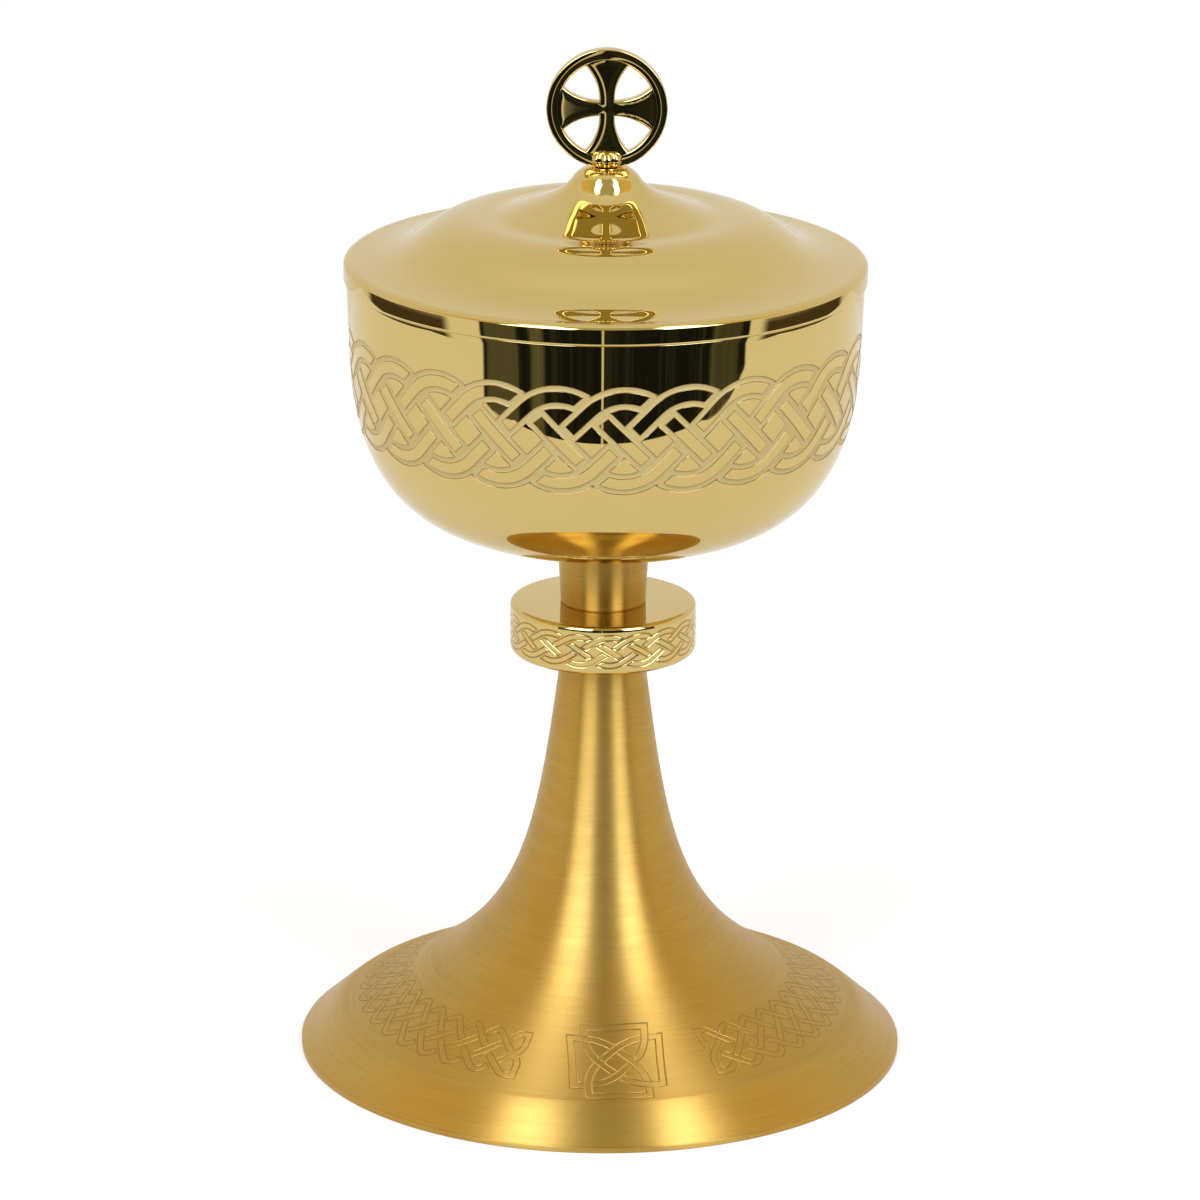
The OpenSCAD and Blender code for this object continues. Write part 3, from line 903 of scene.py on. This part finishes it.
def make_lid():
    """Lid with its upright skirt, hollow brim, soft ridge and crown."""
    skirt_top = Vector((SKIRT_R, SKIRT_Z + 3.6))
    level = Vector((-1, 0))
    brim_rise = slope_up(38.5)
    crown_rise = slope_up(20.5)
    edge_rise = slope_up(58)
    flat_edge = Vector((CROWN_FLAT_R, LID_TOP))
    shoulder = curve(skirt_top, skirt_top + Vector((0, 0.6875)), SHOULDER - 1.43 * level, SHOULDER, 14)
    stretches = [
        (SHOULDER, 9 * slope_up(4), BRIM_MIDDLE, 5 * brim_rise, 24),
        (BRIM_MIDDLE, 3 * brim_rise, RIDGE, 7 * level, 24),
        (RIDGE, 4.3 * level, CROWN_MIDDLE, 9 * crown_rise, 24),
        (CROWN_MIDDLE, 2.6 * crown_rise, CROWN_EDGE, 4 * edge_rise, 28),
        (CROWN_EDGE, 1.16 * edge_rise, flat_edge, 0.7 * level, 12),
    ]
    outside = [SHOULDER]
    for start, leave, end, arrive, steps in stretches:
        outside += curve(start, start + leave, end - arrive, end, steps)[1:]
    inside = thinned(beside(outside, LID_WALL), 2)
    bore = SKIRT_R - LID_WALL
    low_edge = [(-0.32, 0.0), (-0.2, 0.08), (0.0, 0.43), (0.0, 0.52)]
    section = [Vector((SKIRT_R + x, SKIRT_Z + z)) for x, z in low_edge] + shoulder + outside[1:]
    section += [Vector((SPIGOT_HOLE_R, LID_TOP)), Vector((SPIGOT_HOLE_R, LID_TOP - LID_WALL))]
    section += inside[::-1] + [Vector((bore, SHOULDER.y - LID_WALL))]
    section += [Vector((bore, SKIRT_Z)), section[0]]
    bm = turned([section], steps=224)
    finish_piece("lid_shell_spun", bm, POLISHED, "lid", ["lid_shell"])


def make_lid_flange():
    """Flange inside the lid: a web that rests on the rim, and a sleeve in the bowl."""
    web_r = 59.95
    sleeve_r = 58.47
    sleeve_wall = 0.8
    sleeve_h = 8
    web_h = 1.2
    soft_edge = 0.18
    bore = sleeve_r - sleeve_wall
    low = RIM.y - sleeve_h
    top = RIM.y + web_h
    section = rounded(
        [Vector((bore, RIM.y)), Vector((bore, low)), Vector((sleeve_r, low)), Vector((sleeve_r, RIM.y)),
         Vector((web_r, RIM.y)), Vector((web_r, top)), Vector((bore, top)), Vector((bore, RIM.y))],
        [soft_edge] * 6, 3,
    )
    bm = turned([section], steps=192)
    finish_piece("lid_flange_turned", bm, POLISHED, "lid_seat", ["lid_flange"])


def half_bead(outer, low, height):
    """Half-round bead in section, from its lower edge to its upper edge."""
    round_r = height / 2
    middle_r = outer - round_r
    middle_z = low + round_r
    angles = [math.pi * (i / 12 - 0.5) for i in range(13)]
    return [Vector((middle_r + round_r * math.cos(a), middle_z + round_r * math.sin(a))) for a in angles]


def make_knuckle():
    """Lobed bead on a thin fillet under the wheel, with its spigot down through the lid."""
    low_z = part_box("finial_knuckle")[0].z / MM
    fillet_h = 0.25
    fillet_r = 3.7
    bead_h = 3.75
    bead_r = 4.3
    notch_share = 0.2
    tip = 0.2
    section = [Vector((0, low_z)), Vector((SPIGOT_R - tip, low_z)), Vector((SPIGOT_R, low_z + tip))]
    section += [Vector((SPIGOT_R, LID_TOP - 0.02))]
    section += half_bead(fillet_r, LID_TOP, fillet_h) + half_bead(bead_r, LID_TOP + fillet_h, bead_h)
    section.append(Vector((0, LID_TOP + fillet_h + bead_h)))
    bm = turned([section], steps=128)
    for v in bm.verts:
        if v.co.z > LID_TOP + fillet_h + 0.01:
            radius = math.hypot(v.co.x, v.co.y)
            lobe = abs(math.cos(4 * math.atan2(v.co.x, v.co.y)))
            v.co.xy *= 1 - notch_share * (1 - lobe) ** 1.6 * min(1.0, radius / bead_r)
    finish_piece(
        "finial_knuckle_beads", bm, POLISHED, "lid", ["finial_knuckle"], sharp=55.0,
    )


def upright(bm):
    """Turns a piece made flat about Z so that it stands at the wheel's place and faces the front."""
    stand = Matrix.Translation((0, 0, WHEEL_Z)) @ Matrix.Rotation(math.pi / 2, 4, "X")
    bmesh.ops.transform(bm, matrix=stand, verts=bm.verts)


def swell_face(bm, face):
    """Fills a flat face that looks along Z with close points and swells it, as hand polishing does."""
    up = 1 if face.normal.z > 0 else -1
    rim = list(face.verts) if up > 0 else list(reversed(face.verts))
    outline = [v.co.to_2d() for v in rim]
    points = list(outline)
    outline.append(outline[0])
    spacing = 0.4
    clear = 0.22
    fall_w = 1.2
    swell_h = 0.02
    count = math.ceil(WHEEL_R / spacing)
    for row in range(-count, count + 1):
        for i in range(-count, count + 1):
            point = Vector(((i + 0.5 * (row % 2)) * spacing, row * spacing))
            if point.length < RING_BORE_R + 0.2 and gap_between(point, outline) > clear:
                points.append(point)
    spots, _, triangles, origins, *_ = delaunay_2d_cdt(points, [], [list(range(len(rim)))], 1, 0.0001)
    verts = {}
    for k in sorted({i for triangle in triangles for i in triangle}):
        if origins[k][0] < len(rim):
            verts[k] = rim[origins[k][0]]
        else:
            share = min(1.0, gap_between(spots[k], outline) / fall_w)
            swell = up * swell_h * (1 - (1 - share) ** 2)
            verts[k] = bm.verts.new((spots[k].x, spots[k].y, rim[0].co.z + swell))
    bm.faces.remove(face)
    for triangle in triangles:
        bm.faces.new([verts[i] for i in triangle])


def make_wheel_ring():
    """Ring of the wheel, with its edges bevelled on both faces."""
    half = RING_T / 2
    outer_edge = 0.35
    section = rounded(
        [Vector((RING_BORE_R, 0)), Vector((RING_BORE_R, -half)), Vector((WHEEL_R, -half)),
         Vector((WHEEL_R, half)), Vector((RING_BORE_R, half)), Vector((RING_BORE_R, 0))],
        [OPENING_EDGE, outer_edge, outer_edge, OPENING_EDGE], 4,
    )
    bm = turned([section], steps=160)
    upright(bm)
    finish_piece("wheel_ring_bevelled", bm, POLISHED, "lid", ["wheel_ring"])


def make_wheel_cross():
    """Cross with hollow-sided arms, bevelled round its openings on both faces."""
    reach = RING_BORE_R + 0.7
    inner = Vector((ARM_WAIST / 2, ARM_WAIST / 2))
    outer = Vector((ARM_END / 2, math.sqrt(RING_BORE_R**2 - (ARM_END / 2) ** 2)))
    chord = outer - inner
    across = Vector((chord.y, -chord.x)).normalized()
    centre = (inner + outer) / 2 + across * math.sqrt(ARM_SIDE_R**2 - (chord.length / 2) ** 2)
    start = math.atan2(inner.y - centre.y, inner.x - centre.x)
    swing = (inner - centre).angle_signed(outer - centre)
    side = []
    for i in range(19):
        a = start - swing * i / 18 * 1.12
        side.append(centre + ARM_SIDE_R * Vector((math.cos(a), math.sin(a))))
    side = [p for p in side if p.length < reach]
    end_angle = math.atan2(side[-1].x, side[-1].y)
    end_angles = [end_angle * (1 - i / 6) for i in range(1, 7)]
    right = side + [reach * Vector((math.sin(a), math.cos(a))) for a in end_angles]
    arm = right + [Vector((-p.x, p.y)) for p in reversed(right[:-1])]
    bm = bmesh.new()
    outline = []
    for k in range(4):
        outline += quarter_turns(arm[:-1], 4 - k)
    bm.faces.new([bm.verts.new((p.x, p.y, -CROSS_T / 2)) for p in outline])
    made = bmesh.ops.extrude_face_region(bm, geom=bm.faces[:])
    top = [v for v in made["geom"] if isinstance(v, bmesh.types.BMVert)]
    bmesh.ops.translate(bm, verts=top, vec=(0, 0, CROSS_T))
    bmesh.ops.recalc_face_normals(bm, faces=bm.faces)
    rims = [e for e in bm.edges if abs(e.verts[0].co.z - e.verts[1].co.z) < WELD]
    bmesh.ops.bevel(
        bm, geom=rims, offset=OPENING_EDGE, offset_type="OFFSET", segments=4, profile=0.5,
        affect="EDGES", clamp_overlap=True, material=-1,
    )
    for face in [f for f in bm.faces if len(f.verts) > 4]:
        swell_face(bm, face)
    upright(bm)
    finish_piece(
        "wheel_cross_bevelled", bm, POLISHED, "lid", ["wheel_cross"], sharp=30.0,
    )


def dress_fastenings():
    """Gives the hidden fastenings, which keep their CAD shape, their turned brass."""
    names = [
        "foot_neck_plug", "tie_rod", "tie_rod_washer", "tie_rod_lock_washer", "tie_rod_nut",
        "bowl_boss", "finial_washer", "finial_lock_washer", "finial_nut",
    ]
    for name in names:
        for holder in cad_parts[name].material_slots:
            holder.material = BRASS


def make_floor():
    """Pale table that shows white to the camera and keeps the shadow under the foot."""
    bm = bmesh.new()
    outline = [(-0.7, 0.6), (-0.7, -0.12), (-0.32, -0.4), (0.32, -0.4), (0.7, -0.12), (0.7, 0.6)]
    bm.faces.new([bm.verts.new((x, y, 0)) for x, y in outline])
    mesh = bpy.data.meshes.new("table_top")
    bm.to_mesh(mesh)
    bm.free()
    material = bpy.data.materials.new("pale_table")
    material.use_nodes = True
    tree = material.node_tree
    shader = tree.nodes["Principled BSDF"]
    shader.inputs["Base Color"].default_value = (0.44, 0.43, 0.41, 1)
    shader.inputs["Roughness"].default_value = 0.9
    shader.inputs["Specular IOR Level"].default_value = 0.1
    path = tree.nodes.new("ShaderNodeLightPath")
    mirrored = calc(tree, "MAXIMUM", path.outputs["Is Glossy Ray"], path.outputs["Is Transmission Ray"])
    seen_glow = calc(tree, "MULTIPLY", path.outputs["Is Camera Ray"], 0.53)
    mirrored_glow = calc(tree, "MULTIPLY", mirrored, 0.35)
    glow = calc(tree, "ADD", seen_glow, mirrored_glow)
    shader.inputs["Emission Color"].default_value = WHITE
    tree.links.new(glow, shader.inputs["Emission Strength"])
    mesh.materials.append(material)
    floor = bpy.data.objects.new("table_top", mesh)
    bpy.context.scene.collection.objects.link(floor)


def make_studio():
    """A pale light tent, white to the camera.

    Its open front is dark cloth with lit folds and a bright parting. Low down past the table its sides
    are dark too. Above the front are a warm room and two soft lamps.
    """
    world = bpy.data.worlds.new("light_tent")
    bpy.context.scene.world = world
    world.use_nodes = True
    tree = world.node_tree
    tree.nodes.clear()
    direction = tree.nodes.new("ShaderNodeTexCoord").outputs["Generated"]
    split = tree.nodes.new("ShaderNodeSeparateXYZ")
    tree.links.new(direction, split.inputs[0])
    x, y, z = split.outputs
    azimuth = calc(tree, "ARCTAN2", x, calc(tree, "MULTIPLY", y, -1.0))
    elevation = calc(tree, "ARCSINE", z)

    def band(value, low, high, soft):
        rise = soft_step(tree, value, math.radians(low - soft), math.radians(low + soft))
        fall = soft_step(tree, value, math.radians(high - soft), math.radians(high + soft), 1.0, 0.0)
        return calc(tree, "MULTIPLY", rise, fall)

    nadir = -95
    opening = calc(tree, "MULTIPLY", band(azimuth, -56, 65.5, 0.8), band(elevation, nadir, 19, 3))
    parting = calc(tree, "MULTIPLY", band(azimuth, -1.5, -0.5, 0.2), band(elevation, nadir, 10, 3))
    above = calc(tree, "MAXIMUM", calc(tree, "SUBTRACT", elevation, math.radians(50)), 0.0)
    spread = calc(tree, "MULTIPLY", above, 1.2)
    aside = calc(tree, "ABSOLUTE", azimuth)
    room_width = band(calc(tree, "ADD", aside, spread), -10, 104, 4)
    room = calc(tree, "MULTIPLY", room_width, band(elevation, 17, 82, 3))
    dark_sides = calc(tree, "MULTIPLY", band(aside, 73, 125, 3), band(elevation, nadir, -9, 3))
    left = calc(tree, "MULTIPLY", band(calc(tree, "ADD", azimuth, spread), -46, -14, 2.5), 0.9)
    right = band(calc(tree, "SUBTRACT", azimuth, spread), 26, 52, 2)
    lamps = calc(tree, "MULTIPLY", calc(tree, "ADD", left, right), band(elevation, 8, 74, 4))

    folds = tree.nodes.new("ShaderNodeTexNoise")
    folds.noise_dimensions = "1D"
    folds.inputs["Scale"].default_value = 9.0
    folds.inputs["Detail"].default_value = 4.0
    folds.inputs["Roughness"].default_value = 0.7
    tree.links.new(azimuth, folds.inputs["W"])
    fold_light = soft_step(tree, folds.outputs["Fac"], 0.45, 0.85, start=0.0, end=0.35)
    for low, high, share in ((-54, -39, 0.6), (-33, -27, 0.7), (48, 61, 0.4)):
        lit_fold = calc(tree, "MULTIPLY", band(azimuth, low, high, 1.2), share)
        fold_light = calc(tree, "ADD", fold_light, lit_fold, clamp=True)

    dark_cloth, lit_cloth = (0.010, 0.012, 0.013, 1), (0.16, 0.16, 0.11, 1)
    cool_lamp, white_lamp = (4.35, 5.25, 8.0, 1), (4.9, 5.25, 6.3, 1)
    pale_front, pale_back = (0.93, 0.92, 0.90, 1), (0.84, 0.82, 0.77, 1)
    room_middle, room_side = (0.52, 0.51, 0.36, 1), (0.88, 0.65, 0.24, 1)
    brown_dark, parting_light = (0.075, 0.057, 0.030, 1), (0.8, 0.78, 0.7, 1)
    cloth = blend_colour(tree, fold_light, dark_cloth, lit_cloth)
    off_middle = calc(tree, "ABSOLUTE", calc(tree, "SUBTRACT", azimuth, math.radians(5)))
    lamp_light = blend_colour(tree, soft_step(tree, off_middle, 0.35, 0.8), cool_lamp, white_lamp)
    room_tone = blend_colour(tree, soft_step(tree, aside, 0.7, 1.5), room_middle, room_side)
    tent = blend_colour(tree, soft_step(tree, y, -0.2, 0.5), pale_front, pale_back)
    tent = blend_colour(tree, room, tent, room_tone)
    tent = blend_colour(tree, dark_sides, tent, brown_dark)
    tent = blend_colour(tree, opening, tent, cloth)
    tent = blend_colour(tree, parting, tent, parting_light)
    tent = blend_colour(tree, lamps, tent, lamp_light)

    inside = tree.nodes.new("ShaderNodeBackground")
    tree.links.new(tent, inside.inputs["Color"])
    white = tree.nodes.new("ShaderNodeBackground")
    white.inputs["Color"].default_value = WHITE
    path = tree.nodes.new("ShaderNodeLightPath")
    mix = tree.nodes.new("ShaderNodeMixShader")
    tree.links.new(path.outputs["Is Camera Ray"], mix.inputs["Fac"])
    tree.links.new(inside.outputs[0], mix.inputs[1])
    tree.links.new(white.outputs[0], mix.inputs[2])
    output = tree.nodes.new("ShaderNodeOutputWorld")
    tree.links.new(mix.outputs[0], output.inputs["Surface"])


def make_camera():
    """Camera at the photograph's viewing angle, with a long lens and the photograph's slight roll."""
    data = bpy.data.cameras.new("camera")
    data.sensor_width = 36.0
    data.lens = 186.3
    data.shift_x = -0.0026
    data.clip_end = 20.0
    camera = bpy.data.objects.new("camera", data)
    look_down = 17.66
    roll_angle = 0.45
    place = Matrix.Translation((0, -1.4, 0.557))
    tilt = Matrix.Rotation(math.radians(90 - look_down), 4, "X")
    roll = Matrix.Rotation(math.radians(roll_angle), 4, "Z")
    camera.matrix_world = place @ tilt @ roll
    bpy.context.scene.collection.objects.link(camera)
    bpy.context.scene.camera = camera


make_camera()
make_foot()
make_rim_ring()
make_knop()
make_collar()
make_bowl()
make_lid()
make_lid_flange()
make_knuckle()
make_wheel_ring()
make_wheel_cross()
dress_fastenings()
make_floor()
make_studio()
bpy.context.scene.view_settings.view_transform = "Standard"
